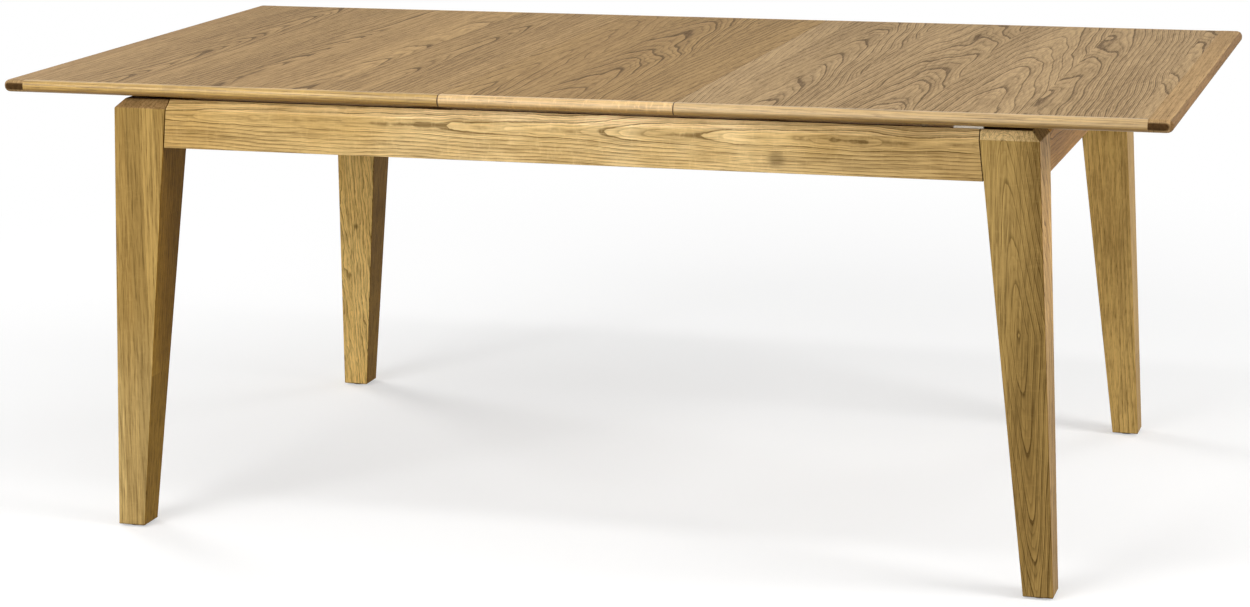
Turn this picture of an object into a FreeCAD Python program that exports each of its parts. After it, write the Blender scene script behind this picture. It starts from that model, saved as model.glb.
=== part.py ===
import FreeCAD, Part
import math
import os
import re

# Sizes in millimetres, all read by the pieces below
values = {
    "top_length": 1940,
    "top_width": 1000,
    "top_height": 760,
    "top_thick": 20,
    "leaf_length": 392,
    "seam_gap": 0.5,
    "seam_arris": 0.8,
    "lip_depth": 12,
    "end_lip": 38,
    "nose_radius": 9,
    "corner_radius": 12,
    "leaf_lift_gap": 0.2,
    "frame_gap": 6,
    "bevel": 15,
    "apron_tall": 79,
    "apron_thick": 22,
    "leg_end_in": 4,
    "leg_side_in": 8,
    "leg_top": 92,
    "leg_foot": 48,
    "splay_x": 30,
    "splay_y": 8,
    "foot_round": 3,
    "groove": 1.5,
    "groove_depth": 4,
    "glide_thick": 3,
    "glide_radius": 15,
    "block_reach": 112,
    "block_run": 34,
    "block_drop": 72,
    "block_tall": 62,
    "flat_reach": 60,
    "bolt_radius": 4,
    "bolt_in_leg": 44,
    "bolt_out": 11,
    "bolt_drop": 40,
    "washer_radius": 12,
    "washer_thick": 2,
    "nut_radius": 7.5,
    "nut_tall": 6.5,
    "diagonal_ratio": 1.414214,
    "rail_in": 470,
    "rail_half": 30,
    "rail_drop": 70,
    "guide_drop": 42,
    "tenon_long": 10,
    "tenon_half": 20,
    "tenon_edge": 8,
    "guide_in": 240,
    "guide_half": 15,
    "guide_clear": 1,
    "tongue_drop": 26,
    "tongue_tall": 10,
    "tongue_deep": 8,
    "slide_gap": 1,
    "slide_play": 0.5,
    "slider_wide": 26,
    "slider_tall": 40,
    "slider_back": 150,
    "slider_end_in": 80,
    "slider_screw_in": 9,
    "slider_screw_near": 44,
    "slider_screw_far": 30,
    "screw_radius": 2.5,
    "screw_head": 4.8,
    "screw_cone": 3,
    "screw_bite": 12,
    "guide_screw_long": 58,
    "bridge_half": 40,
    "bridge_thick": 22,
    "bridge_screw_x": 22,
    "bridge_screw_long": 44,
    "tooth_pitch": 10,
    "pinion_teeth": 16,
    "two_pi": 6.283185,
    "addendum": 2.6,
    "dedendum": 3.4,
    "flank_slope": 0.36397,
    "backlash": 0.5,
    "pinion_bore": 5.08,
    "hub_radius": 13,
    "hub_lift": 0.3,
    "gear_drop": 16,
    "gear_tall": 12,
    "rack_inset": 0.5,
    "rack_body": 10,
    "rack_spare": 26,
    "rack_hold": 149,
    "rack_pad_in": 20,
    "rack_screw_in": 28,
    "axle_radius": 5,
    "axle_tail": 12,
    "axle_head": 8,
    "axle_head_tall": 2.5,
    "axle_nut_radius": 9,
    "axle_nut_tall": 8,
    "batten_play": 1,
    "batten_wide": 39,
    "batten_tall": 25,
    "batten_end_in": 26,
    "batten_screw_in": 40,
    "plate_in": 135,
    "plate_long": 46,
    "plate_thick": 4,
    "plate_web_in": 7,
    "plate_web_long": 28,
    "plate_web_drop": 32,
    "plate_screw_in": 7,
    "plate_screw_drop": 16,
    "plate_screw_long": 16,
    "plate_screw_radius": 2,
    "plate_screw_head": 3.8,
    "overtravel": 40,
    "stop_play": 0.5,
    "peg_radius": 6,
    "peg_tall": 4.5,
    "peg_stem": 3,
}

doc = FreeCAD.newDocument("extending_table")
sheet = doc.addObject("Spreadsheet::Sheet", "size")
for row, (alias, number) in enumerate(values.items(), 1):
    sheet.set(f"A{row}", alias)
    sheet.set(f"B{row}", str(number))
    sheet.setAlias(f"B{row}", alias)
doc.recompute()

nodes = []


def bind(piece, prop, text):
    piece.setExpression(prop, re.sub(r"[a-z][a-z_]*", lambda word: "size." + word.group(0), text))


def place(piece, x, y, z):
    bind(piece, "Placement.Base.x", x)
    bind(piece, "Placement.Base.y", y)
    bind(piece, "Placement.Base.z", z)


def span(side, near, far):
    if side > 0:
        return near, far
    return f"-({far})", f"-({near})"


def signed(side, text):
    return text if side > 0 else f"-({text})"


def box(name, xs, ys, zs):
    piece = doc.addObject("Part::Box", name)
    bind(piece, "Length", f"({xs[1]}) - ({xs[0]})")
    bind(piece, "Width", f"({ys[1]}) - ({ys[0]})")
    bind(piece, "Height", f"({zs[1]}) - ({zs[0]})")
    place(piece, xs[0], ys[0], zs[0])
    return piece


def frustum(name, zs, low_x, low_y, high_x, high_y):
    # a block whose section changes from the low rectangle to the high one
    piece = doc.addObject("Part::Wedge", name)
    bind(piece, "Ymin", zs[0])
    bind(piece, "Ymax", zs[1])
    bind(piece, "Xmin", low_x[0])
    bind(piece, "Xmax", low_x[1])
    bind(piece, "Zmin", f"-({low_y[1]})")
    bind(piece, "Zmax", f"-({low_y[0]})")
    bind(piece, "X2min", high_x[0])
    bind(piece, "X2max", high_x[1])
    bind(piece, "Z2min", f"-({high_y[1]})")
    bind(piece, "Z2max", f"-({high_y[0]})")
    piece.Placement.Rotation = FreeCAD.Rotation(FreeCAD.Vector(1, 0, 0), 90)
    return piece


def trapezoid(name, deep, near_half, far_half, zs, turn, x, y):
    # a plan trapezoid of even height, turned about the vertical
    piece = doc.addObject("Part::Wedge", name)
    bind(piece, "Ymin", "0")
    bind(piece, "Ymax", deep)
    bind(piece, "Xmin", f"-({near_half})")
    bind(piece, "Xmax", near_half)
    bind(piece, "X2min", f"-({far_half})")
    bind(piece, "X2max", far_half)
    for prop, text in (("Zmin", "0"), ("Zmax", f"({zs[1]}) - ({zs[0]})")):
        bind(piece, prop, text)
        bind(piece, prop.replace("Z", "Z2"), text)
    piece.Placement.Rotation = FreeCAD.Rotation(FreeCAD.Vector(0, 0, 1), turn)
    place(piece, x, y, zs[0])
    return piece


def rod(name, radius, long, base, toward=(0, 0, 1)):
    piece = doc.addObject("Part::Cylinder", name)
    bind(piece, "Radius", radius)
    bind(piece, "Height", long)
    piece.Placement.Rotation = FreeCAD.Rotation(FreeCAD.Vector(0, 0, 1), FreeCAD.Vector(*toward))
    place(piece, *base)
    return piece


def hexagon(name, radius, tall, base, toward=(0, 0, 1)):
    piece = doc.addObject("Part::Prism", name)
    piece.Polygon = 6
    bind(piece, "Circumradius", radius)
    bind(piece, "Height", tall)
    piece.Placement.Rotation = FreeCAD.Rotation(FreeCAD.Vector(0, 0, 1), FreeCAD.Vector(*toward))
    place(piece, *base)
    return piece


def fuse(name, pieces):
    piece = doc.addObject("Part::MultiFuse", name)
    piece.Shapes = pieces
    return piece


def cut(name, base, tools):
    for count, tool in enumerate(tools):
        piece = doc.addObject("Part::Cut", f"{name}_{count}")
        piece.Base = base
        piece.Tool = tool
        base = piece
    return base


def group(name, pieces):
    piece = doc.addObject("Part::Compound", name)
    piece.Links = pieces
    return piece


def screw(name, radius, head, long, base, toward=(0, 0, 1)):
    # a countersunk screw standing on its head
    shank = rod(name + "_shank", radius, long, base, toward)
    cone = doc.addObject("Part::Cone", name + "_cone")
    bind(cone, "Radius1", head)
    bind(cone, "Radius2", radius)
    bind(cone, "Height", "screw_cone")
    cone.Placement.Rotation = shank.Placement.Rotation
    place(cone, *base)
    return fuse(name, [shank, cone])


def rounded(name, base, radius, wanted, kind="Part::Fillet"):
    doc.recompute()
    piece = doc.addObject(kind, name)
    piece.Base = base
    chosen = [n for n, edge in enumerate(base.Shape.Edges, 1) if wanted(edge)]
    piece.Edges = [(n, radius, radius) for n in chosen]
    return piece


def keep(label, piece):
    piece.Label = label
    nodes.append(piece)
    return piece


def at(edge, axis, place_mm):
    # true where the whole edge lies on one plane
    box_mm = edge.BoundBox
    low, high = {"x": (box_mm.XMin, box_mm.XMax), "y": (box_mm.YMin, box_mm.YMax),
                 "z": (box_mm.ZMin, box_mm.ZMax)}[axis]
    return abs(low - place_mm) < 0.01 and abs(high - place_mm) < 0.01


# Places worked out from the sizes
underside = "(top_height - top_thick)"
frame_top = f"({underside} - frame_gap)"
bevel_low = f"({frame_top} - bevel)"
apron_low = f"({frame_top} - apron_tall)"
leg_out_x = "(top_length / 2 - leaf_length / 2 - leg_end_in)"
leg_out_y = "(top_width / 2 - leg_side_in)"
block_low = f"({frame_top} - block_drop)"
bolt_height = f"({frame_top} - bolt_drop)"
rail_x = f"({leg_out_x} - rail_in)"
rail_low = f"({frame_top} - rail_drop)"
guide_y = "(top_width / 2 - guide_in)"
guide_low = f"({frame_top} - guide_drop)"
guide_top = f"({frame_top} - guide_clear)"
tongue_low = f"({frame_top} - tongue_drop)"
tongue_top = f"({tongue_low} + tongue_tall)"
slider_low = f"({underside} - slider_tall)"
slider_front = f"({leg_out_x} - slider_end_in)"
slider_screw_a = "(leaf_length / 2 + slider_screw_near)"
slider_screw_c = f"({slider_front} - slider_screw_far)"
slider_screw_b = f"({slider_screw_a} / 2 + {slider_screw_c} / 2)"
bridge_low = f"({guide_low} - bridge_thick)"
axle_low = f"({bridge_low} - axle_tail)"
pitch_radius = "(tooth_pitch * pinion_teeth / two_pi)"
gear_low = f"({underside} - gear_drop)"
gear_top = f"({gear_low} + gear_tall)"
rack_back = "(overtravel + rack_spare)"
rack_front = "(leaf_length / 2 + rack_hold)"
rack_pad = "(leaf_length / 2 + rack_pad_in)"
batten_out = f"({guide_y} - guide_half - slide_gap - slider_wide - batten_play)"
batten_in = f"({batten_out} - batten_wide)"
batten_low = f"({underside} - batten_tall)"
batten_half = "(leaf_length / 2 - batten_end_in)"
batten_screw_x = f"({batten_half} - batten_screw_in)"
plate_start = f"({leg_out_x} - plate_in)"
plate_end = f"({plate_start} + plate_long)"
plate_web_start = f"({plate_start} + plate_web_in)"
plate_web_end = f"({plate_web_start} + plate_web_long)"
slope_x = f"((leg_top - leg_foot + splay_x) / ({frame_top} - bevel - glide_thick))"
slope_y = f"((leg_top - leg_foot + splay_y) / ({frame_top} - bevel - glide_thick))"
inner_x = f"{leg_out_x} - leg_top"
inner_y = f"{leg_out_y} - leg_top"
inner_x_top = f"{inner_x} - bevel * {slope_x}"
inner_y_top = f"{inner_y} - bevel * {slope_y}"
inner_x_low = f"{inner_x} + ({frame_top} - bevel - {apron_low}) * {slope_x}"
inner_y_low = f"{inner_y} + ({frame_top} - bevel - {apron_low}) * {slope_y}"
apron_in_x = f"{leg_out_x} - apron_thick"
apron_in_y = f"{leg_out_y} - apron_thick"
corners = {"front_right": (1, -1, 45), "front_left": (-1, -1, -45),
           "back_right": (1, 1, 135), "back_left": (-1, 1, -135)}

# Legs, corner blocks and their bolts
bolts = []
washers = []
nuts = []
glides = []
for corner, (sx, sy, turn) in corners.items():
    inward = (-sx, -sy, 0)
    foot_x = span(sx, f"{leg_out_x} + splay_x - leg_foot", f"{leg_out_x} + splay_x")
    foot_y = span(sy, f"{leg_out_y} + splay_y - leg_foot", f"{leg_out_y} + splay_y")
    head_x = span(sx, inner_x, leg_out_x)
    head_y = span(sy, inner_y, leg_out_y)
    stem = frustum(f"stem_{corner}", ("glide_thick", bevel_low), foot_x, foot_y, head_x, head_y)
    crown = frustum(f"crown_{corner}", (bevel_low, frame_top), head_x, head_y,
                    span(sx, inner_x_top, f"{leg_out_x} - bevel"),
                    span(sy, inner_y_top, f"{leg_out_y} - bevel"))
    whole = fuse(f"whole_leg_{corner}", [stem, crown])
    low_edge = values["glide_thick"]
    raw = rounded(f"raw_leg_{corner}", whole, values["foot_round"], lambda edge: at(edge, "z", low_edge))
    block_x = signed(sx, f"{apron_in_x} - block_reach / 2")
    block_y = signed(sy, f"{apron_in_y} - block_reach / 2")
    flat = trapezoid(f"flat_{corner}", "flat_reach", "block_reach", "block_reach",
                     (f"{apron_low} - flat_reach / 4", f"{frame_top} + bevel"), turn, block_x, block_y)
    block = trapezoid(f"block_{corner}", "block_run / diagonal_ratio", "block_reach / diagonal_ratio",
                      "(block_reach + block_run) / diagonal_ratio",
                      (block_low, f"{block_low} + block_tall"), turn, block_x, block_y)
    bolt_start_x = signed(sx, f"{apron_in_x} - block_reach / 2 + bolt_in_leg / diagonal_ratio")
    bolt_start_y = signed(sy, f"{apron_in_y} - block_reach / 2 + bolt_in_leg / diagonal_ratio")
    bolt = rod(f"bolt_{corner}", "bolt_radius", "bolt_in_leg + block_run / diagonal_ratio + bolt_out",
               (bolt_start_x, bolt_start_y, bolt_height), inward)
    out_x = signed(sx, f"{apron_in_x} - (block_reach + block_run) / 2")
    out_y = signed(sy, f"{apron_in_y} - (block_reach + block_run) / 2")
    disc = rod(f"disc_{corner}", "washer_radius", "washer_thick", (out_x, out_y, bolt_height), inward)
    washers += [cut(f"washer_{corner}", disc, [bolt])]
    nut_x = signed(sx, f"{apron_in_x} - (block_reach + block_run) / 2 - washer_thick / diagonal_ratio")
    nut_y = signed(sy, f"{apron_in_y} - (block_reach + block_run) / 2 - washer_thick / diagonal_ratio")
    nut = hexagon(f"hex_{corner}", "nut_radius", "nut_tall", (nut_x, nut_y, bolt_height), inward)
    nuts += [cut(f"nut_{corner}", nut, [bolt])]
    bolts += [bolt]
    glides += [rod(f"glide_{corner}", "glide_radius", "glide_thick",
                   (signed(sx, f"{leg_out_x} + splay_x - leg_foot / 2"),
                    signed(sy, f"{leg_out_y} + splay_y - leg_foot / 2"), "0"))]
    keep(f"leg_{corner}", cut(f"leg_{corner}", raw, [flat, bolt]))
    keep(f"corner_block_{corner}", cut(f"corner_{corner}", block, [bolt]))
keep("leg_bolts", group("leg_bolts", bolts))
keep("leg_washers", group("leg_washers", washers))
keep("leg_nuts", group("leg_nuts", nuts))
keep("foot_glides", group("foot_glides", glides))

# Guide rails with a tongue on both sides, and the screws that hold them
guide_screws = []
bridge_screws = []
guides = {}
for label, side in (("front", -1), ("back", 1)):
    ends = (f"-({apron_in_x})", apron_in_x)
    bar = box(f"guide_bar_{label}", ends, span(side, f"{guide_y} - guide_half", f"{guide_y} + guide_half"),
              (guide_low, guide_top))
    tongue_y = span(side, f"{guide_y} - guide_half - tongue_deep", f"{guide_y} + guide_half + tongue_deep")
    tongue = box(f"guide_tongue_{label}", ends, tongue_y, (tongue_low, tongue_top))
    fixings = []
    for name, way in (("right", 1), ("left", -1)):
        middle = signed(side, guide_y)
        guide_screws += [screw(f"guide_screw_{label}_{name}", "screw_radius", "screw_head",
                               "guide_screw_long", (signed(way, rail_x), middle, guide_top),
                               (0, 0, -1))]
        bridge_screws += [screw(f"bridge_screw_{label}_{name}", "screw_radius", "screw_head",
                                "bridge_screw_long",
                                (signed(way, "bridge_screw_x"), middle, bridge_low))]
        fixings += [guide_screws[-1], bridge_screws[-1]]
    guides[label] = group(f"guide_fixings_{label}", fixings)
    rail = fuse(f"guide_raw_{label}", [bar, tongue])
    keep(f"guide_rail_{label}", cut(f"guide_rail_{label}", rail, [guides[label]]))
keep("guide_screws", group("guide_screws", guide_screws))
keep("bridge_screws", group("bridge_screws", bridge_screws))

# Cross rails with tenons into the long aprons
tenons = []
for label, side in (("right", 1), ("left", -1)):
    beam_x = span(side, f"{rail_x} - rail_half", f"{rail_x} + rail_half")
    tenon_x = span(side, f"{rail_x} - tenon_half", f"{rail_x} + tenon_half")
    tenon_y = f"{apron_in_y} + tenon_long"
    beam = box(f"beam_{label}", beam_x, (f"-({apron_in_y})", apron_in_y), (rail_low, guide_low))
    tenon = box(f"tenon_{label}", tenon_x, (f"-({tenon_y})", tenon_y),
                (f"{rail_low} + tenon_edge", f"{guide_low} - tenon_edge"))
    tenons += [tenon]
    rail = fuse(f"cross_raw_{label}", [beam, tenon])
    keep(f"cross_rail_{label}", cut(f"cross_rail_{label}", rail, [guides["front"], guides["back"]]))

# Stop plates, one on each long apron, and their screws
plates = {}
plate_screws = []
for label, side in (("front", -1), ("back", 1)):
    along = -side
    seat = box(f"plate_seat_{label}", span(along, plate_start, plate_end),
               span(side, f"{apron_in_y} - plate_thick", f"{leg_out_y} - bevel"),
               (frame_top, f"{frame_top} + plate_thick"))
    web = box(f"plate_web_{label}", span(along, plate_web_start, plate_web_end),
              span(side, f"{apron_in_y} - plate_thick", apron_in_y),
              (f"{frame_top} - plate_web_drop", f"{frame_top} + plate_thick"))
    fixings = []
    for spot in (f"{plate_web_start} + plate_screw_in", f"{plate_web_end} - plate_screw_in"):
        base = (signed(along, spot), signed(side, f"{apron_in_y} - plate_thick"),
                f"{frame_top} - plate_screw_drop")
        fixings += [screw(f"plate_screw_{label}_{len(fixings)}", "plate_screw_radius", "plate_screw_head",
                          "plate_screw_long", base, (0, side, 0))]
    plates[label] = group(f"plate_fixings_{label}", fixings)
    plate_screws += fixings
    angle = fuse(f"angle_{label}", [seat, web])
    keep(f"stop_plate_{label}", cut(f"stop_plate_{label}", angle, [plates[label]]))
keep("stop_plate_screws", group("stop_plate_screws", plate_screws))

# Aprons: a bevelled rail with a thin shadow groove beside each leg
for label, side in (("front", -1), ("back", 1)):
    face_y = span(side, apron_in_y, leg_out_y)
    crown_y = span(side, apron_in_y, f"{leg_out_y} - bevel")
    core_y = span(side, apron_in_y, f"{leg_out_y} - groove_depth")
    low_x = f"{inner_x_low} - groove"
    mid_x = f"{inner_x} - groove"
    top_x = f"{inner_x_top} - groove"
    face = frustum(f"apron_face_{label}", (apron_low, bevel_low), (f"-({low_x})", low_x), face_y,
                   (f"-({mid_x})", mid_x), face_y)
    crown = frustum(f"apron_crown_{label}", (bevel_low, frame_top), (f"-({mid_x})", mid_x), face_y,
                    (f"-({top_x})", top_x), crown_y)
    core = frustum(f"apron_core_{label}", (apron_low, bevel_low), (f"-({inner_x_low})", inner_x_low),
                   core_y, (f"-({inner_x})", inner_x), core_y)
    rail = fuse(f"apron_raw_{label}", [face, crown, core])
    keep(f"apron_{label}", cut(f"apron_{label}", rail, tenons + [plates[label]]))
for label, side in (("right", 1), ("left", -1)):
    face_x = span(side, apron_in_x, leg_out_x)
    crown_x = span(side, apron_in_x, f"{leg_out_x} - bevel")
    core_x = span(side, apron_in_x, f"{leg_out_x} - groove_depth")
    low_y = f"{inner_y_low} - groove"
    mid_y = f"{inner_y} - groove"
    top_y = f"{inner_y_top} - groove"
    face = frustum(f"apron_face_{label}", (apron_low, bevel_low), face_x, (f"-({low_y})", low_y),
                   face_x, (f"-({mid_y})", mid_y))
    crown = frustum(f"apron_crown_{label}", (bevel_low, frame_top), face_x, (f"-({mid_y})", mid_y),
                    crown_x, (f"-({top_y})", top_y))
    core = frustum(f"apron_core_{label}", (apron_low, bevel_low), core_x,
                   (f"-({inner_y_low})", inner_y_low), core_x, (f"-({inner_y})", inner_y))
    keep(f"apron_{label}", fuse(f"apron_{label}", [face, crown, core]))

# Bridge under the guide rails, with the pinion on its axle
stem = rod("axle_stem", "axle_radius", f"{gear_top} + hub_lift - {axle_low}", ("0", "0", axle_low))
cap = rod("axle_cap", "axle_head", "axle_head_tall", ("0", "0", f"{gear_top} + hub_lift"))
axle = keep("pinion_axle", fuse("pinion_axle", [stem, cap]))
board = box("bridge_board", ("-bridge_half", "bridge_half"),
            (f"-({guide_y} + guide_half)", f"{guide_y} + guide_half"), (bridge_low, guide_low))
bridge = cut("pinion_bridge", board, [axle, guides["front"], guides["back"]])
keep("pinion_bridge", bridge)
hexed = hexagon("axle_hex", "axle_nut_radius", "axle_nut_tall", ("0", "0", f"{bridge_low} - axle_nut_tall"))
keep("axle_nut", cut("axle_nut", hexed, [axle]))


def gear_outline():
    # involute flanks, root circle joined by short radial lines
    teeth = values["pinion_teeth"]
    radius = values["tooth_pitch"] * teeth / values["two_pi"]
    pressure = math.atan(values["flank_slope"])
    base = radius * math.cos(pressure)
    tip = radius + values["addendum"]
    root = radius - values["dedendum"]
    half = (values["tooth_pitch"] / 2 - values["backlash"]) / (2 * radius)
    flank = []
    steps = 6
    for step in range(steps + 1):
        reach = base + (tip - base) * step / steps
        lean = math.acos(min(1.0, base / reach))
        turn = half + math.tan(pressure) - pressure - math.tan(lean) + lean
        flank.append((reach, turn))
    flank.insert(0, (root, flank[0][1]))
    points = []
    for tooth in range(teeth):
        middle = math.pi / 2 + tooth * 2 * math.pi / teeth
        for reach, turn in flank:
            points.append((reach, middle - turn))
        for reach, turn in reversed(flank):
            points.append((reach, middle + turn))
    corners_mm = [FreeCAD.Vector(r * math.cos(a), r * math.sin(a), 0) for r, a in points]
    return Part.makePolygon(corners_mm + corners_mm[:1])


crown_gear = doc.addObject("Part::Feature", "gear_teeth")
crown_gear.Shape = Part.Face(gear_outline()).extrude(FreeCAD.Vector(0, 0, values["gear_tall"]))
place(crown_gear, "0", "0", gear_low)
hub = rod("pinion_hub", "hub_radius", f"{gear_low} - {guide_low} - hub_lift",
          ("0", "0", f"{guide_low} + hub_lift"))
bore = rod("pinion_hole", "pinion_bore", f"{gear_top} - {guide_low} + bevel", ("0", "0", guide_low))
keep("pinion", cut("pinion", fuse("pinion_raw", [crown_gear, hub]), [bore]))


def lipping(name, xs, side, seams):
    # a straight edge strip with a rounded nose, eased where it meets a seam
    strip = box(f"{name}_bar", xs, span(side, "top_width / 2 - lip_depth", "top_width / 2"),
                (underside, "top_height"))
    face = side * values["top_width"] / 2
    high = values["top_height"]
    low = high - values["top_thick"]
    nosed = rounded(f"{name}_nosed", strip, values["nose_radius"],
                    lambda edge: at(edge, "y", face) and (at(edge, "z", high) or at(edge, "z", low)))
    back = face - side * values["lip_depth"]
    seam_mm = [s * (values["leaf_length"] / 2 + d * values["seam_gap"] / 2) for s, d in seams]
    return rounded(name, nosed, values["seam_arris"],
                   lambda edge: any(at(edge, "x", x) for x in seam_mm) and not at(edge, "y", back),
                   "Part::Chamfer")


# Two sliding halves, each with its panel, lippings, sliders and rack
back_teeth = round((values["overtravel"] + values["rack_spare"]) / values["tooth_pitch"])
front_teeth = round(values["leaf_length"] / 2 / values["tooth_pitch"])
for label, side in (("right", 1), ("left", -1)):
    seam = "leaf_length / 2 + seam_gap / 2"
    lip_end = "top_length / 2 - end_lip"
    panel_x = span(side, seam, lip_end)
    panel = box(f"board_{label}", panel_x, ("-(top_width / 2 - lip_depth)", "top_width / 2 - lip_depth"),
                (underside, "top_height"))
    for edge_name, way in (("front", -1), ("back", 1)):
        keep(f"{label}_lipping_{edge_name}", lipping(f"lip_{label}_{edge_name}", panel_x, way, [(side, 1)]))
    blank = box(f"end_blank_{label}", span(side, lip_end, "top_length / 2"),
                ("-top_width / 2", "top_width / 2"), (underside, "top_height"))
    tip_mm = side * values["top_length"] / 2
    wide_mm = values["top_width"] / 2
    inside_mm = side * (values["top_length"] / 2 - values["end_lip"])
    shaped = rounded(f"end_shaped_{label}", blank, values["corner_radius"],
                     lambda edge: at(edge, "x", tip_mm) and any(at(edge, "y", s * wide_mm) for s in (1, -1)))
    top_mm = values["top_height"]
    low_mm = values["top_height"] - values["top_thick"]
    nosed = rounded(f"end_{label}", shaped, values["nose_radius"],
                    lambda edge: (at(edge, "z", top_mm) or at(edge, "z", low_mm))
                    and not at(edge, "x", inside_mm))
    keep(f"{label}_lipping_end", nosed)
    slider_x = span(side, "-slider_back", slider_front)
    slider_screws = []
    for place_name, way in (("outer", -side), ("inner", side)):
        if place_name == "outer":
            near = f"{guide_y} + guide_half + slide_gap"
            bar_y = span(way, near, f"{near} + slider_wide")
            slot_y = span(way, near, f"{guide_y} + guide_half + tongue_deep + slide_play")
            screw_y = signed(way, f"{near} + slider_wide - slider_screw_in")
        else:
            near = f"{guide_y} - guide_half - slide_gap"
            bar_y = span(way, f"{near} - slider_wide", near)
            slot_y = span(way, f"{guide_y} - guide_half - tongue_deep - slide_play", near)
            screw_y = signed(way, f"{near} - slider_wide + slider_screw_in")
        bar = box(f"slider_bar_{label}_{place_name}", slider_x, bar_y, (slider_low, underside))
        slot = box(f"slider_slot_{label}_{place_name}", slider_x, slot_y,
                   (f"{tongue_low} - slide_play", f"{tongue_top} + slide_play"))
        fixings = [screw(f"slider_screw_{label}_{place_name}_{name}", "screw_radius", "screw_head",
                         "slider_tall + screw_bite", (signed(side, spot), screw_y, slider_low))
                   for name, spot in (("a", slider_screw_a), ("b", slider_screw_b), ("c", slider_screw_c))]
        slider_screws += fixings
        holes = group(f"hole_{label}_{place_name}", fixings)
        keep(f"{label}_slider_{place_name}", cut(f"slider_{label}_{place_name}", bar, [slot, holes]))
    keep(f"{label}_slider_screws", group(f"slider_screws_{label}", slider_screws))
    root_y = f"{pitch_radius} + dedendum"
    spine = box(f"rack_spine_{label}", span(side, f"-{rack_back}", rack_front),
                span(side, root_y, f"{root_y} + rack_body"),
                (f"{gear_low} + rack_inset", f"{gear_top} - rack_inset"))
    pad = box(f"rack_pad_{label}", span(side, rack_pad, rack_front),
              span(side, root_y, f"{root_y} + rack_body"), (f"{gear_top} - rack_inset", underside))
    teeth = []
    for count in range(-back_teeth, front_teeth):
        teeth += [trapezoid(f"tooth_{label}_{count + back_teeth}", "addendum + dedendum",
                            "tooth_pitch / 4 - backlash / 2 + dedendum * flank_slope",
                            "tooth_pitch / 4 - backlash / 2 - addendum * flank_slope",
                            (f"{gear_low} + rack_inset", f"{gear_top} - rack_inset"), 180 if side > 0 else 0,
                            signed(side, f"tooth_pitch * ({count} + 0.5)"), signed(side, root_y))]
    rack_y = signed(side, f"{root_y} + rack_body / 2")
    rack_screws = group(f"rack_screws_{label}",
                        [screw(f"rack_screw_{label}_{name}", "screw_radius", "screw_head",
                               f"{underside} - {gear_low} - rack_inset + screw_bite",
                               (signed(side, spot), rack_y, f"{gear_low} + rack_inset"))
                         for name, spot in (("a", f"{rack_pad} + rack_screw_in"),
                                            ("b", f"{rack_front} - rack_screw_in"))])
    rack = fuse(f"rack_raw_{label}", [spine, pad] + teeth)
    keep(f"{label}_rack", cut(f"rack_{label}", rack, [rack_screws]))
    keep(f"{label}_rack_screws", rack_screws)
    peg_x = signed(side, f"{plate_start} - overtravel - stop_play - peg_radius")
    peg_y = signed(-side, f"{apron_in_y} + (apron_thick - bevel) / 2")
    peg_head = rod(f"peg_head_{label}", "peg_radius", "peg_tall", (peg_x, peg_y, f"{underside} - peg_tall"))
    peg_stem = rod(f"peg_stem_{label}", "peg_stem", "peg_tall + screw_bite",
                   (peg_x, peg_y, f"{underside} - peg_tall"))
    peg = keep(f"{label}_stop_peg", fuse(f"peg_{label}", [peg_head, peg_stem]))
    keep(f"{label}_panel", cut(f"panel_{label}", panel,
                               [group(f"panel_holes_{label}", slider_screws), rack_screws, peg]))

# Loose leaf, with battens that sit between the inner sliders
leaf_x = ("-(leaf_length / 2 - seam_gap / 2)", "leaf_length / 2 - seam_gap / 2")
leaf_low = f"{underside} + leaf_lift_gap"
leaf_board = box("leaf_board", leaf_x, ("-(top_width / 2 - lip_depth)", "top_width / 2 - lip_depth"),
                 (leaf_low, "top_height"))
batten_screws = []
for label, side in (("front", -1), ("back", 1)):
    keep(f"leaf_lipping_{label}", lipping(f"leaf_lip_{label}", leaf_x, side, [(1, -1), (-1, -1)]))
    strip = box(f"batten_bar_{label}", (f"-{batten_half}", batten_half), span(side, batten_in, batten_out),
                (batten_low, leaf_low))
    fixings = [screw(f"batten_screw_{label}_{name}", "screw_radius", "screw_head",
                     f"{leaf_low} - {batten_low} + screw_bite",
                     (spot, signed(side, f"({batten_in} + {batten_out}) / 2"), batten_low))
               for name, spot in (("a", f"-{batten_screw_x}"), ("b", "0"), ("c", batten_screw_x))]
    batten_screws += fixings
    holes = group(f"batten_holes_{label}", fixings)
    keep(f"leaf_batten_{label}", cut(f"leaf_batten_{label}", strip, [holes]))
keep("leaf_batten_screws", group("leaf_batten_screws", batten_screws))
keep("leaf_panel", cut("leaf_panel", leaf_board, [group("leaf_holes", batten_screws)]))

# Check every object, then write one file for each piece
doc.recompute()
for piece in doc.Objects:
    if "Invalid" in piece.State or "Error" in piece.State:
        raise RuntimeError(f"{piece.Name} did not build: {piece.State}")
for piece in nodes:
    if piece.Shape.isNull() or not piece.Shape.isValid() or not piece.Shape.Solids:
        raise RuntimeError(f"{piece.Label} has no sound shape")
os.makedirs("parts", exist_ok=True)
for piece in nodes:
    piece.Shape.exportStep(f"parts/{piece.Label}.step")
    print(piece.Label, len(piece.Shape.Solids), round(piece.Shape.Volume / 1000, 2))
print(len(nodes), "pieces")
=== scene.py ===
import math
import bpy
from mathutils import Matrix, Vector

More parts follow.
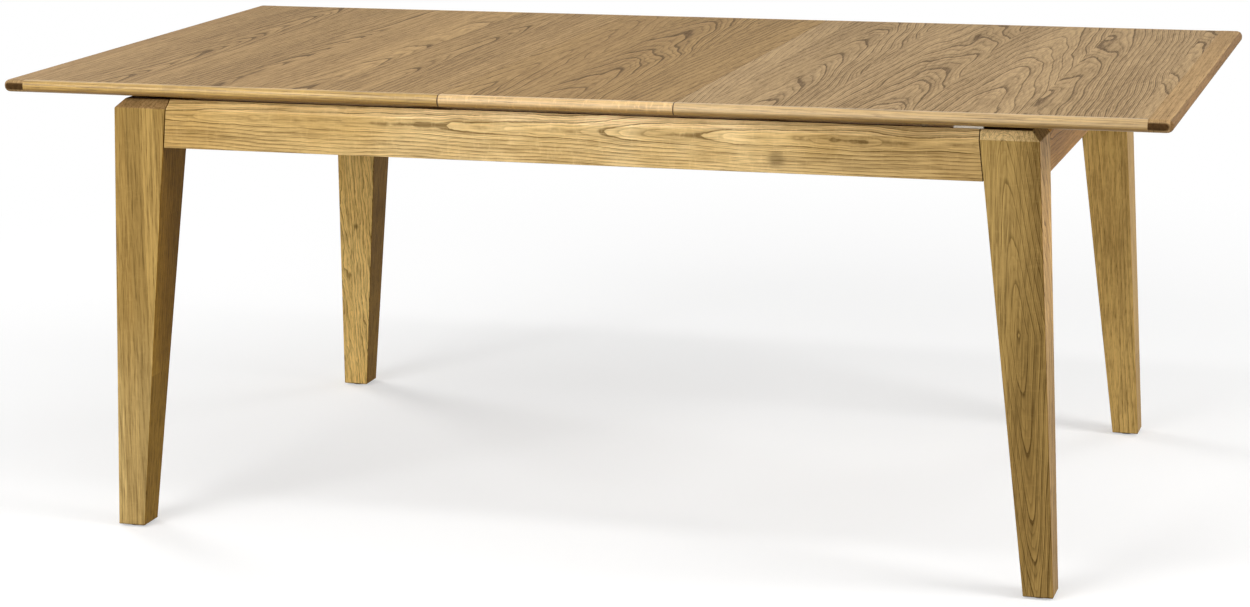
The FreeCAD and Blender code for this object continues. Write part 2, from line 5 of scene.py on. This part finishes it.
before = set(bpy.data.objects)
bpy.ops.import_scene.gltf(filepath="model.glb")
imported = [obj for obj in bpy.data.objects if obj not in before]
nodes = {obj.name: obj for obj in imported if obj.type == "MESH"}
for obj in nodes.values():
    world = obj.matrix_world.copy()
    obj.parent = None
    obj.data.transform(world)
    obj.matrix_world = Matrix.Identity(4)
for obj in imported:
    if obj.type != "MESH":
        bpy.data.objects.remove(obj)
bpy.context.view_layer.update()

scene = bpy.context.scene
print("stage: frame loaded,", len(nodes), "nodes")


class Graph:
    def __init__(self, owner):
        owner.use_nodes = True
        self.owner = owner
        self.tree = owner.node_tree

    def add(self, kind, inputs=(), **settings):
        node = self.tree.nodes.new(kind)
        for key, value in settings.items():
            setattr(node, key, value)
        pairs = inputs.items() if isinstance(inputs, dict) else enumerate(inputs)
        for key, value in pairs:
            self.put(node.inputs[key], value)
        return node

    def put(self, socket, value):
        if isinstance(value, bpy.types.NodeSocket):
            self.tree.links.new(value, socket)
        else:
            socket.default_value = value

    def math(self, operation, *values):
        return self.add("ShaderNodeMath", values, operation=operation).outputs[0]

    def times(self, one, two):
        return self.math("MULTIPLY", one, two)

    def timesPlus(self, one, two, more):
        return self.math("MULTIPLY_ADD", one, two, more)

    def vector(self, operation, *values):
        return self.add("ShaderNodeVectorMath", values, operation=operation).outputs

    def span(self, value, low, high, toLow=0.0, toHigh=1.0):
        inputs = (value, low, high, toLow, toHigh)
        return self.add("ShaderNodeMapRange", inputs, interpolation_type="SMOOTHSTEP").outputs[0]

    def ramp(self, value, stops):
        node = self.add("ShaderNodeValToRGB", (value,))
        while len(node.color_ramp.elements) < len(stops):
            node.color_ramp.elements.new(0.5)
        for element, (place, level) in zip(node.color_ramp.elements, stops):
            element.position = place
            element.color = (level, level, level, 1)
        return node.outputs[0]

    def join(self, x, y, z):
        return self.add("ShaderNodeCombineXYZ", (x, y, z)).outputs[0]

    def letters(self, vector):
        return dict(zip("xyz", self.add("ShaderNodeSeparateXYZ", (vector,)).outputs))

    def noise(self, vector, scale, detail=2.0, rough=0.5):
        inputs = {"Vector": vector, "Scale": scale, "Detail": detail, "Roughness": rough}
        return self.add("ShaderNodeTexNoise", inputs).outputs[0]

    def mix(self, factor, first, second, blend="MIX"):
        inputs = {0: factor, 6: first, 7: second}  # the colour sockets of a mix node
        return self.add("ShaderNodeMix", inputs, data_type="RGBA", blend_type=blend).outputs[2]

    def tinted(self, mask, color, tint):
        return self.mix(mask, color, self.mix(1.0, color, shade(tint), "MULTIPLY"))

    def seen(self):  # 1 where the eye looks straight at it, in a mirror or through glass
        rays = self.add("ShaderNodeLightPath").outputs
        straight = self.math("MAXIMUM", rays["Is Camera Ray"], rays["Is Glossy Ray"])
        return self.math("MAXIMUM", straight, rays["Is Transmission Ray"])

    def finish(self, color, rough, height, bump):
        shader = self.tree.nodes["Principled BSDF"]
        bumped = self.add("ShaderNodeBump", dict(bump, Height=height))
        self.put(shader.inputs["Base Color"], color)
        self.put(shader.inputs["Roughness"], rough)
        self.put(shader.inputs["Normal"], bumped.outputs[0])
        return shader


def shade(color, level=1.0):
    return (color[0] * level, color[1] * level, color[2] * level, 1.0)


# what a board has when its own look doesn't say; lengths in metres
plainBoard = dict(
    strip=10.0, shift=0.5, toneSpread=0.0,  # width of the glued strips, where they start
    pith=0.0, scatter=0.0, lean=0.0, base=0.0, facing=0.0, deepScatter=0.0, saddle=None,
    stretch=0.08, swirlScale=7.0, rippleScale=45.0, wobble=0.0,
    thin=1.0, finer=0.5, choice=1.7, cap=1.0, plateau=0.0,  # ring lines
    rays=0.0, hair=0.4, pores=0.7, gleam=0.15, rough=0.42, specular=0.04,
    knots=(), patches=(), facets=())
seedSteps = (1.7, 3.1, 0.9)
ringSteps = 7.0  # how many rings apart the strips may be
noiseScale = dict(wobble=12.0, fade=9.0, broad=8.0, thread=700.0, hair=190.0, ray=70.0)
slowing = dict(wobble=0.22, thread=0.045, hair=0.05)  # along the grain
ringStops = ((0.0, 0.1), (0.05, 1.0), (0.14, 0.75), (0.3, 0.2))
ringRest = ((0.65, 0.0), (1.0, 0.05))
innerCount = 3.0
innerStops = ((0.0, 0.1), (0.1, 1.0), (0.3, 0.4), (0.6, 0.0), (1.0, 0.05))
rayPull = (0.8, 2.2)  # across and along the grain
spans = dict(  # where each noise or slope starts and ends
    fade=(0.32, 0.62, 0.3, 1.0), pore=(0.5, 0.72), gleam=(0.48, 0.30), ray=(0.5, 0.75),
    broad=(0.35, 0.65), hair=(0.4, 0.75), endFace=(0.74, 0.95), endTone=(0.3, 0.7))
levels = dict(plateau=0.72, pore=0.7, gleam=1.12, ray=1.15, knot=0.5, end=0.6)  # times a tone
relief = dict(early=-0.35, pore=-0.8, hair=0.35)
poreShare = (0.6, 0.4)  # what the early wood adds, and what is everywhere
seasonShare = (0.95, 0.3)
glossSpread = 0.10
woodBump = {"Strength": 0.3, "Distance": 0.0004}


class Oak(Graph):
    def __init__(self, name, look):
        super().__init__(bpy.data.materials.new(name))
        self.look = dict(plainBoard, **look)
        place = self.add("ShaderNodeTexCoord").outputs
        self.spot = place["Object"]
        self.axes = self.letters(self.spot)
        self.normals = self.letters(place["Normal"])
        self.across, self.depth, self.along = (self.axes[way] for way in look["order"])
        self.cutStrips()
        self.growRings()
        self.drawLines()
        self.drawFibres()
        color = self.markFaces(self.mixTones())
        height = self.times(self.hair, relief["hair"])
        height = self.timesPlus(self.pore, relief["pore"], height)
        height = self.timesPlus(self.early, relief["early"], height)
        gloss = self.math("ADD", self.pore, self.hair)
        gloss = self.timesPlus(gloss, glossSpread, self.look["rough"])
        shader = self.finish(color, gloss, height, woodBump)
        shader.inputs["Specular IOR Level"].default_value = self.look["specular"]

    def cutStrips(self):
        look = self.look
        width, shift, seed = look["strip"], look["shift"], look["seed"]
        count = self.math("FLOOR", self.timesPlus(self.across, 1 / width, shift))
        middle = self.timesPlus(count, width, (0.5 - shift) * width)
        self.local = self.math("SUBTRACT", self.across, middle)
        place = self.join(count, seed, 0.0)
        chance = self.add("ShaderNodeTexWhiteNoise", (place,), noise_dimensions="3D").outputs["Color"]
        self.lots = self.add("ShaderNodeSeparateColor", (chance,)).outputs
        stretched = self.join(self.across, self.depth, self.times(self.along, look["stretch"]))
        shifted = self.vector("ADD", stretched, [seed * step for step in seedSteps])[0]
        self.spread = self.vector("ADD", shifted, chance)[0]

    def growRings(self):
        look = self.look
        swirl = self.math("SUBTRACT", self.noise(self.spread, look["swirlScale"], 1.0), 0.5)
        ripple = self.noise(self.spread, look["rippleScale"], 3.0, 0.55)
        self.ripple = self.math("SUBTRACT", ripple, 0.5)
        chance = self.math("SUBTRACT", self.lots[0], 0.5)
        pith = self.timesPlus(chance, look["scatter"], look["pith"])
        offset = self.math("SUBTRACT", self.local, pith)
        offset = self.timesPlus(self.along, -look["lean"], offset)
        far = self.timesPlus(self.lots[1], look["deepScatter"], look["deep"])
        behind = self.math("SUBTRACT", self.depth, look["base"])
        behind = self.timesPlus(behind, look["facing"], far)
        squares = self.math("ADD", self.times(offset, offset), self.times(behind, behind))
        climb = self.along
        if look["saddle"] is not None:
            climb = self.math("ABSOLUTE", self.math("SUBTRACT", self.along, look["saddle"]))
        cone = self.timesPlus(climb, look["taper"], self.math("SQRT", squares))
        rings = self.timesPlus(swirl, look["swirl"], self.math("DIVIDE", cone, look["spacing"]))
        rings = self.timesPlus(self.ripple, look["ripple"], rings)
        rings = self.timesPlus(self.lots[2], ringSteps, rings)
        if look["wobble"]:
            deeper = self.math("ADD", self.depth, look["seed"])
            wavy = self.join(self.across, deeper, self.times(self.along, slowing["wobble"]))
            wobble = self.math("SUBTRACT", self.noise(wavy, noiseScale["wobble"]), 0.5)
            rings = self.timesPlus(wobble, look["wobble"], rings)
        self.rings = rings

    def drawLines(self):
        look = self.look
        narrow = tuple((place * look["thin"], level) for place, level in ringStops)
        early = self.ramp(self.math("FRACT", self.rings), narrow + ringRest)
        inner = self.math("FRACT", self.times(self.rings, innerCount))
        room = self.timesPlus(early, -look["finer"], look["finer"])
        self.early = self.timesPlus(self.ramp(inner, innerStops), room, early)
        year = self.math("FLOOR", self.rings)
        season = self.add("ShaderNodeTexWhiteNoise", (year,), noise_dimensions="1D")
        self.season = season.outputs["Value"]
        fade = self.span(self.noise(self.spread, noiseScale["fade"]), *spans["fade"])
        strong = self.timesPlus(self.math("POWER", self.season, look["choice"]), *seasonShare)
        dark = self.times(self.times(self.early, self.times(fade, strong)), look["lines"])
        self.ringDark = self.math("MINIMUM", dark, look["cap"])

    def fibre(self, kind, detail, rough):
        place = self.join(self.across, self.depth, self.times(self.along, slowing[kind]))
        return self.noise(place, noiseScale[kind], detail, rough)

    def drawFibres(self):
        thread = self.fibre("thread", 2.0, 0.55)
        share = self.timesPlus(self.early, *poreShare)
        self.pore = self.times(self.span(thread, *spans["pore"]), share)
        self.gleam = self.span(thread, *spans["gleam"])  # pale threads between the pores
        self.hair = self.fibre("hair", 4.0, 0.65)
        acrossPull, alongPull = (self.times(*pair) for pair in zip((self.across, self.along), rayPull))
        flecks = self.noise(self.join(acrossPull, self.depth, alongPull), noiseScale["ray"], 3.0, 0.6)
        flecks = self.span(flecks, *spans["ray"])
        self.ray = self.times(flecks, self.look["rays"])

    def mixTones(self):
        look = self.look
        light, warm, dark = look["light"], look["warm"], look["dark"]
        broad = self.noise(self.spread, noiseScale["broad"], 3.0, 0.55)
        color = self.mix(self.span(broad, *spans["broad"]), shade(light), shade(warm))
        layers = []
        if look["plateau"]:
            wide = self.times(self.season, look["plateau"])
            layers.append((wide, shade(warm, levels["plateau"])))
        fine = self.span(self.hair, *spans["hair"], 0.0, look["hair"])
        layers += [(fine, shade(dark)), (self.ringDark, shade(dark)),
                   (self.times(self.pore, look["pores"]), shade(dark, levels["pore"])),
                   (self.times(self.gleam, look["gleam"]), shade(light, levels["gleam"])),
                   (self.ray, shade(light, levels["ray"]))]
        for mask, tone in layers:
            color = self.mix(mask, color, tone)
        tone = self.timesPlus(self.lots[1], look["toneSpread"], 1.0 - look["toneSpread"] / 2)
        return self.mix(1.0, color, self.join(tone, tone, tone), "MULTIPLY")

    def markFaces(self, color):
        look = self.look
        for spot, size, strength in look["knots"]:
            away = self.vector("DISTANCE", self.spot, spot)["Value"]
            away = self.timesPlus(self.ripple, size * 0.9, away)
            mask = self.span(away, size * 0.15, size, strength, 0.0)
            color = self.mix(mask, color, shade(look["dark"], levels["knot"]))
        for spot, size, tint in look["patches"]:
            away = self.vector("DISTANCE", self.spot, spot)["Value"]
            color = self.tinted(self.span(away, size * 0.2, size, 1.0, 0.0), color, tint)
        # tints by which way a face looks; the looks use them for painted light and shade
        for way, low, high, tint, *heights in look["facets"]:
            mask = self.span(self.normals[way], low, high)
            if heights:  # stronger from the first height to the second
                mask = self.times(mask, self.span(self.axes["z"], *heights))
            color = self.tinted(mask, color, tint)
        endFace = self.math("ABSOLUTE", self.normals[look["order"][2]])
        endTone = self.span(self.hair, *spans["endTone"])
        endColor = self.mix(endTone, shade(look["end"]), shade(look["end"], levels["end"]))
        return self.mix(self.span(endFace, *spans["endFace"]), color, endColor)


def makeOak(name, look):
    return Oak(name, look).owner


edgeGrid = 20000  # corners closer than 1 / edgeGrid count as one
foldAngle = 0.6
flatAngle = 0.002


def markEdges(mesh, shortest):
    # bevel weight on the long outer edges only, so holes and slots stay as they are
    beside = {}
    places = [tuple(round(c * edgeGrid) for c in v.co) for v in mesh.vertices]
    for face in mesh.polygons:
        for pair in face.edge_keys:
            beside.setdefault(frozenset(places[i] for i in pair), []).append(face)
    weight = mesh.attributes.new("bevel_weight_edge", "FLOAT", "EDGE")
    for edge in mesh.edges:
        start, end = edge.vertices
        faces = beside[frozenset((places[start], places[end]))]
        length = (mesh.vertices[start].co - mesh.vertices[end].co).length
        if length < shortest or len(faces) != 2:
            continue
        one, two = faces
        outer = (two.center - one.center).dot(one.normal) < 0
        if outer and one.normal.angle(two.normal) > foldAngle:
            weight.data[edge.index].value = 1.0


def dress(name, material, soft=None):
    piece = nodes[name]
    piece.data.materials.clear()
    piece.data.materials.append(material)
    if soft:
        markEdges(piece.data, soft["shortest"])
        seam = piece.modifiers.new("joinFaces", "WELD")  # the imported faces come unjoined
        seam.merge_threshold = soft["join"]
        flat = piece.modifiers.new("wholeFaces", "DECIMATE")
        flat.decimate_type = "DISSOLVE"
        flat.angle_limit = flatAngle
        edge = piece.modifiers.new("softEdge", "BEVEL")
        edge.width = soft["width"]
        edge.segments = 2
        edge.limit_method = "WEIGHT"
        edge.use_clamp_overlap = False
        edge.harden_normals = True


endGrain = (0.085, 0.042, 0.013)

# panels of the top, veneer grain across the table
seamShade = (0.3, 0.26, 0.22)  # painted shade on the faces at the seams
seamShadeFacets = (("x", 0.5, 0.7, seamShade), ("x", -0.5, -0.7, seamShade))
veneer = dict(
    order="xzy", strip=0.165, toneSpread=0.06,
    deep=0.03, deepScatter=0.05, scatter=0.16, taper=0.05, spacing=0.0098,
    swirl=7.0, swirlScale=5.0, ripple=0.8, rippleScale=20.0, wobble=3.4,
    thin=0.5, choice=2.6, plateau=0.7, finer=0.33, lines=3.2, cap=0.8,
    hair=0.45, gleam=0.35, rough=0.55, facets=seamShadeFacets,
    light=(0.605, 0.395, 0.178), warm=(0.47, 0.302, 0.136), dark=(0.075, 0.038, 0.013),
    end=endGrain)
rightPanel = dict(veneer, seed=2.0, light=(0.655, 0.452, 0.236), warm=(0.51, 0.345, 0.172))
leftPanel = dict(
    veneer, seed=5.0, taper=0.03, spacing=0.0085, swirl=3.0, wobble=2.6, finer=0.42, lines=3.4,
    light=(0.635, 0.415, 0.188), warm=(0.495, 0.318, 0.144))
leafPanel = dict(veneer, seed=9.0, light=(0.565, 0.367, 0.157), warm=(0.44, 0.278, 0.12))
dress("right_panel", makeOak("veneerRight", rightPanel))
dress("left_panel", makeOak("veneerLeft", leftPanel))
dress("leaf_panel", makeOak("veneerLeaf", leafPanel))
print("stage: top panels")

# lippings round the top, grain along each strip
# painted shade on the lower half of each rounded nose, which looks down
undersideShade = (0.57, 0.48, 0.25)
lipping = dict(
    order="zyx", deep=0.05, taper=0.012, spacing=0.0045,
    swirl=5.0, swirlScale=6.0, ripple=1.2, rippleScale=40.0, lines=0.9, rays=0.15,
    rough=0.28, specular=0.45, facets=(("z", 0.1, -0.5, undersideShade),) + seamShadeFacets,
    end=endGrain)
golden = dict(
    lipping, light=(0.80, 0.53, 0.165), warm=(0.59, 0.365, 0.10), dark=(0.12, 0.062, 0.016))
pale = dict(
    lipping, light=(0.86, 0.575, 0.255), warm=(0.63, 0.41, 0.165), dark=(0.16, 0.085, 0.03),
    rays=0.6)
brown = dict(
    lipping, light=(0.70, 0.475, 0.21), warm=(0.51, 0.335, 0.13), dark=(0.10, 0.05, 0.013))
for name, seed, look in (
        ("left_lipping_front", 11.0, golden), ("left_lipping_back", 12.0, golden),
        ("leaf_lipping_front", 13.0, pale), ("leaf_lipping_back", 14.0, pale),
        ("right_lipping_front", 15.0, brown), ("right_lipping_back", 16.0, brown)):
    dress(name, makeOak(name + "_oak", dict(look, seed=seed)))
noseShade = (0.5, 0.44, 0.38)  # painted shade on the rounded outer edge
endLipping = dict(
    lipping, order="xzy", spacing=0.008, rough=0.55, specular=0.04,
    light=(0.53, 0.34, 0.155), warm=(0.42, 0.265, 0.12), dark=(0.075, 0.038, 0.013))
leftEnd = dict(endLipping, seed=21.0, facets=(("x", -0.45, -0.65, noseShade),))
rightEnd = dict(endLipping, seed=23.0, facets=(("x", 0.45, 0.65, noseShade),))
dress("left_lipping_end", makeOak("endLeft", leftEnd))
dress("right_lipping_end", makeOak("endRight", rightEnd))
print("stage: lippings")

# aprons, one board each
apron = dict(
    order="zyx", pith=0.71, deep=0.022, taper=-0.014, spacing=0.005, stretch=0.7,
    swirl=3.2, swirlScale=5.0, ripple=0.5, rippleScale=35.0, wobble=2.4,
    thin=0.6, choice=1.8, plateau=0.35, finer=0.3, lines=2.6, cap=0.8,
    hair=0.45, rays=0.1,
    facets=(("z", 0.45, 0.65, (1.3, 1.36, 1.55)),  # painted highlight on the bevel
            ("z", 0.85, 0.95, (0.10, 0.08, 0.06))),  # painted shade on the top edge, in the gap
    light=(0.95, 0.67, 0.29), warm=(0.70, 0.457, 0.164), dark=(0.12, 0.062, 0.014),
    end=endGrain)
frontApron = dict(
    apron, seed=44.0, knots=(((0.36, -0.492, 0.676), 0.018, 0.45),),
    patches=(((0.05, -0.46, 0.68), 0.5, (1.24, 1.3, 1.5)),
             ((-0.7, -0.46, 0.68), 0.45, (0.87, 0.83, 0.75)),
             ((0.68, -0.46, 0.68), 0.4, (0.76, 0.73, 0.69))))
endApron = dict(apron, order="zxy", light=(0.62, 0.317, 0.08), warm=(0.465, 0.224, 0.049))
softApron = dict(width=0.0012, shortest=0.2, join=0.00001)
dress("apron_front", makeOak("apronFront", frontApron), softApron)
dress("apron_back", makeOak("apronBack", dict(apron, seed=33.0)), softApron)
dress("apron_right", makeOak("apronRight", dict(endApron, seed=35.0)), softApron)
dress("apron_left", makeOak("apronLeft", dict(endApron, seed=37.0)), softApron)
print("stage: aprons")

# legs, glued up from strips that run parallel to the outer faces
leg = dict(
    order="xyz", strip=0.031, shift=0.0, toneSpread=0.2,
    pith=0.07, deep=0.07, deepScatter=0.06, scatter=0.05, facing=1.0, taper=0.012, spacing=0.0062,
    swirl=1.4, swirlScale=6.0, ripple=0.9, rippleScale=40.0, lines=0.8, hair=0.55, rays=0.1,
    end=endGrain)
softLeg = dict(width=0.0015, shortest=0.06, join=0.0005)
frontLeftLeg = dict(
    leg, seed=41.0, strip=0.028, shift=0.89, toneSpread=0.22, base=-0.46,
    patches=(((-0.745, -0.47, 0.12), 0.3, (1.24, 1.34, 1.65)),),
    facets=(("z", 0.45, 0.65, (0.8, 0.76, 1.0)),  # painted shade on the bevel
            ("x", 0.45, 0.65, (0.58, 0.47, 0.2))),  # painted shade on the inner face, under the top
    light=(0.53, 0.34, 0.105), warm=(0.38, 0.235, 0.068), dark=(0.10, 0.05, 0.010))
dress("leg_front_left", makeOak("legFrontLeft", frontLeftLeg), softLeg)
frontRightLeg = dict(
    leg, seed=43.0, strip=0.2, shift=-0.2, scatter=0.0, pith=0.036, lean=-0.085,
    deep=0.012, deepScatter=0.0, facing=0.6, base=-0.49, saddle=0.42, taper=0.1, spacing=0.008,
    swirl=3.0, wobble=2.2, thin=0.5, choice=1.8, plateau=0.3, finer=0.3, lines=2.3, cap=0.8,
    hair=0.6,
    patches=(((0.72, -0.46, 0.12), 0.3, (0.93, 0.91, 0.89)),
             ((0.72, -0.46, 0.6), 0.22, (1.12, 1.14, 1.2))),
    facets=(("z", 0.45, 0.65, (1.75, 1.95, 2.85)),  # painted highlight on the bevel
            ("x", 0.2, 0.4, (0.6, 0.53, 0.42)),  # the dark edge
            ("x", 0.75, 0.95, (1.75, 1.95, 2.9)),  # painted light on the outer face, more of it at the top
            ("x", 0.75, 0.95, (1.62, 1.6, 1.62), 0.25, 0.62)),
    light=(0.56, 0.36, 0.112), warm=(0.27, 0.16, 0.042), dark=(0.075, 0.037, 0.007))
dress("leg_front_right", makeOak("legFrontRight", frontRightLeg), softLeg)
# the back legs get paler wood than the front legs, partly painted light for the light they miss under
# the top
backLeftLeg = dict(
    leg, seed=45.0, strip=0.062, shift=0.4, base=0.46, taper=0.04, spacing=0.005, stretch=0.3,
    swirl=3.0, ripple=3.0, lines=1.1, knots=(((-0.752, 0.425, 0.333), 0.009, 0.7),),
    facets=(("x", 0.45, 0.65, (0.3, 0.24, 0.115)),),  # painted shade on the inner face, under the top
    light=(0.98, 0.67, 0.235), warm=(0.84, 0.54, 0.165), dark=(0.14, 0.07, 0.015))
dress("leg_back_left", makeOak("legBackLeft", backLeftLeg), softLeg)
# paler wood than the front right leg, partly painted light
backRightLeg = dict(
    leg, seed=47.0, shift=0.4, base=0.46, taper=0.006, swirl=0.8,
    facets=(("x", 0.45, 0.65, (0.7, 0.68, 0.72)),),  # painted shade on the outer face
    light=(0.73, 0.475, 0.154), warm=(0.55, 0.342, 0.101), dark=(0.12, 0.06, 0.012))
dress("leg_back_right", makeOak("legBackRight", backRightLeg), softLeg)
print("stage: legs")

# inner rails, runners and blocks of plain beech
beech = dict(
    order="zyx", deep=0.08, taper=0.01, spacing=0.003, swirl=1.5, ripple=0.8,
    lines=0.25, pores=0.2, hair=0.25, rays=0.5, rough=0.5,
    light=(0.60, 0.42, 0.25), warm=(0.54, 0.36, 0.20), dark=(0.30, 0.17, 0.08),
    end=(0.25, 0.14, 0.07))
softInner = dict(width=0.001, shortest=0.02, join=0.00001)
beechAlong = makeOak("beechAlong", dict(beech, seed=51.0))
beechAcross = makeOak("beechAcross", dict(beech, seed=53.0, order="xzy"))
alongWords = ("guide_rail", "slider_outer", "slider_inner", "batten_front", "batten_back")
acrossWords = ("cross_rail", "corner_block", "pinion_bridge")
for name in nodes:
    if any(word in name for word in alongWords):
        dress(name, beechAlong, softInner)
    elif any(word in name for word in acrossWords):
        dress(name, beechAcross, softInner)
print("stage: inner rails")

metalBump = {"Strength": 0.2, "Distance": 0.0002}
brushScale = 2600.0
cloudScale = 60.0


def makeMetal(name, look):
    g = Graph(bpy.data.materials.new(name))
    color = look["color"]
    place = g.add("ShaderNodeTexCoord").outputs["Object"]
    axes = g.letters(place)
    pulled = g.join(g.times(axes["x"], look["pull"]), axes["y"], axes["z"])
    brushed = g.noise(pulled, brushScale, 3.0, 0.6)
    cloud = g.span(g.noise(place, cloudScale, 3.0), 0.3, 0.7)
    tone = g.mix(cloud, shade(color), shade(color, 0.82))
    tone = g.mix(g.times(brushed, 0.25), tone, shade(color, 0.6))
    shader = g.finish(tone, g.timesPlus(brushed, 0.2, look["rough"]), brushed, metalBump)
    shader.inputs["Metallic"].default_value = look["metal"]
    return g.owner


# steel, nylon and felt pieces
plateSteel = makeMetal("plateSteel", dict(color=(0.26, 0.23, 0.19), pull=0.02, rough=0.28, metal=1.0))
zincSteel = makeMetal("zincSteel", dict(color=(0.56, 0.56, 0.53), pull=1.0, rough=0.32, metal=1.0))
darkSteel = makeMetal("darkSteel", dict(color=(0.20, 0.14, 0.075), pull=1.0, rough=0.5, metal=0.6))
nylon = makeMetal("nylon", dict(color=(0.66, 0.64, 0.57), pull=1.0, rough=0.45, metal=0.0))
felt = makeMetal("felt", dict(color=(0.05, 0.042, 0.035), pull=1.0, rough=0.8, metal=0.0))
zincNames = ("leg_bolts", "leg_washers", "leg_nuts", "axle_nut", "pinion_axle")
for name in nodes:
    if name in ("stop_plate_front", "stop_plate_back"):
        dress(name, plateSteel)
    elif "screws" in name or name in zincNames:
        dress(name, zincSteel)
    elif "stop_peg" in name:
        dress(name, darkSteel)
    elif name == "pinion" or name.endswith("_rack"):
        dress(name, nylon)
    elif name == "foot_glides":
        dress(name, felt)
print("stage: small pieces")

# floor: keeps the shadow near the table, white further away, see-through from below
ground = dict(reach=40.0, rough=0.9, seenGrey=0.58, litGrey=0.38, glow=0.44, fade=(1.1, 3.0))
plainWhite = (1, 1, 1, 1)
reach = ground["reach"]
corners = [(-reach, -reach, 0), (reach, -reach, 0), (reach, reach, 0), (-reach, reach, 0)]
floorMesh = bpy.data.meshes.new("floor")
floorMesh.from_pydata(corners, [], [(0, 1, 2, 3)])
floor = bpy.data.objects.new("floor", floorMesh)
scene.collection.objects.link(floor)
paper = Graph(bpy.data.materials.new("paper"))
matt = paper.tree.nodes["Principled BSDF"]
matt.inputs["Roughness"].default_value = ground["rough"]
matt.inputs["Specular IOR Level"].default_value = 0.0
paperSeen = paper.seen()
greys = [shade((1, 1, 1), ground[key]) for key in ("litGrey", "seenGrey")]
paper.put(matt.inputs["Base Color"], paper.mix(paperSeen, *greys))
glowLevel = paper.times(paperSeen, ground["glow"])
glow = paper.add("ShaderNodeEmission", {"Color": plainWhite, "Strength": glowLevel}).outputs[0]
near = paper.add("ShaderNodeAddShader", (matt.outputs[0], glow)).outputs[0]
away = paper.vector("LENGTH", paper.add("ShaderNodeTexCoord").outputs["Object"])["Value"]
far = paper.times(paper.span(away, *ground["fade"]), paperSeen)
white = paper.add("ShaderNodeEmission", {"Color": plainWhite, "Strength": 1.0}).outputs[0]
above = paper.add("ShaderNodeMixShader", (far, near, white)).outputs[0]
below = paper.add("ShaderNodeBsdfTransparent").outputs[0]
turned = paper.add("ShaderNodeNewGeometry").outputs["Backfacing"]
sheet = paper.add("ShaderNodeMixShader", (turned, above, below)).outputs[0]
paper.put(paper.tree.nodes["Material Output"].inputs[0], sheet)
floorMesh.materials.append(paper.owner)

# background, white where it is seen and dim as a light
backdrop = dict(ambient=0.10, seen=1.0)
studio = Graph(bpy.data.worlds.new("studio"))
scene.world = studio.owner
ambient = studio.tree.nodes["Background"]
ambient.inputs["Color"].default_value = plainWhite
ambient.inputs["Strength"].default_value = backdrop["ambient"]
white = studio.add("ShaderNodeBackground", {"Color": plainWhite, "Strength": backdrop["seen"]})
sides = (studio.seen(), ambient.outputs[0], white.outputs[0])
blend = studio.add("ShaderNodeMixShader", sides).outputs[0]
studio.put(studio.tree.nodes["World Output"].inputs[0], blend)


def addLamp(name, look):
    data = bpy.data.lights.new(name, "AREA")
    data.shape = "RECTANGLE"
    data.size, data.size_y = look["size"]
    data.energy = look["watts"]
    lamp = bpy.data.objects.new(name, data)
    lamp.location = look["at"]
    beam = Vector(look["aim"]) - Vector(look["at"])
    lamp.rotation_euler = beam.to_track_quat("-Z", "Y").to_euler()
    scene.collection.objects.link(lamp)


middle = (0, 0, 0.5)
addLamp("keyLight", dict(at=(-2.2, -4.4, 3.0), aim=middle, size=(2.6, 2.0), watts=138))
addLamp("lowLight", dict(at=(-0.8, -5.4, 0.8), aim=middle, size=(2.6, 0.9), watts=66))
addLamp("backLight", dict(at=(3.6, 4.6, 2.8), aim=middle, size=(2.4, 2.0), watts=65))
addLamp("leftLight", dict(at=(-4.6, 2.6, 2.6), aim=middle, size=(2.0, 2.0), watts=120))
addLamp("overLight", dict(at=(0.0, -1.3, 3.4), aim=(0.0, -0.4, 0.7), size=(4.4, 0.35), watts=26))
addLamp("sideLight", dict(at=(4.8, -0.8, 2.7), aim=(0.4, 0, 0.5), size=(2.0, 2.0), watts=150))
addLamp("shinLight", dict(at=(4.6, -0.6, 0.45), aim=(0.77, -0.4, 0.45), size=(1.6, 0.6), watts=40))
skyLook = dict(energy=0.35, spread=100, tilt=12)
skyData = bpy.data.lights.new("skyLight", "SUN")
skyData.energy = skyLook["energy"]
skyData.angle = math.radians(skyLook["spread"])
skyLamp = bpy.data.objects.new("skyLight", skyData)
skyLamp.rotation_euler = (math.radians(skyLook["tilt"]), 0, 0)
scene.collection.objects.link(skyLamp)
print("stage: light")

# camera as fitted to the photograph; focal length and centre in its pixels
photo = dict(width=1250, height=607, focal=2822.9, centre=(741.4, 217.8))
stand = dict(at=(1.4751, -4.6340, 1.4643), yaw=15.806, pitch=-11.581, roll=-0.622)
yaw, pitch, roll = (math.radians(stand[key]) for key in ("yaw", "pitch", "roll"))
level = math.cos(pitch)
ahead = Vector((-math.sin(yaw) * level, math.cos(yaw) * level, math.sin(pitch)))
right = Vector((math.cos(yaw), math.sin(yaw), 0))
up = right.cross(ahead)
rightRolled = right * math.cos(roll) + up * math.sin(roll)
upRolled = up * math.cos(roll) - right * math.sin(roll)
lensData = bpy.data.cameras.new("camera")
lensData.sensor_width = 36.0
lensData.lens = photo["focal"] * lensData.sensor_width / photo["width"]
lensData.shift_x = (photo["width"] / 2 - photo["centre"][0]) / photo["width"]
lensData.shift_y = (photo["centre"][1] - photo["height"] / 2) / photo["width"]
lensData.clip_end = 200
camera = bpy.data.objects.new("camera", lensData)
turn = Matrix((rightRolled, upRolled, -ahead)).transposed()
camera.matrix_world = Matrix.Translation(stand["at"]) @ turn.to_4x4()
scene.collection.objects.link(camera)
scene.camera = camera
scene.view_settings.view_transform = "Standard"
print("stage: camera")
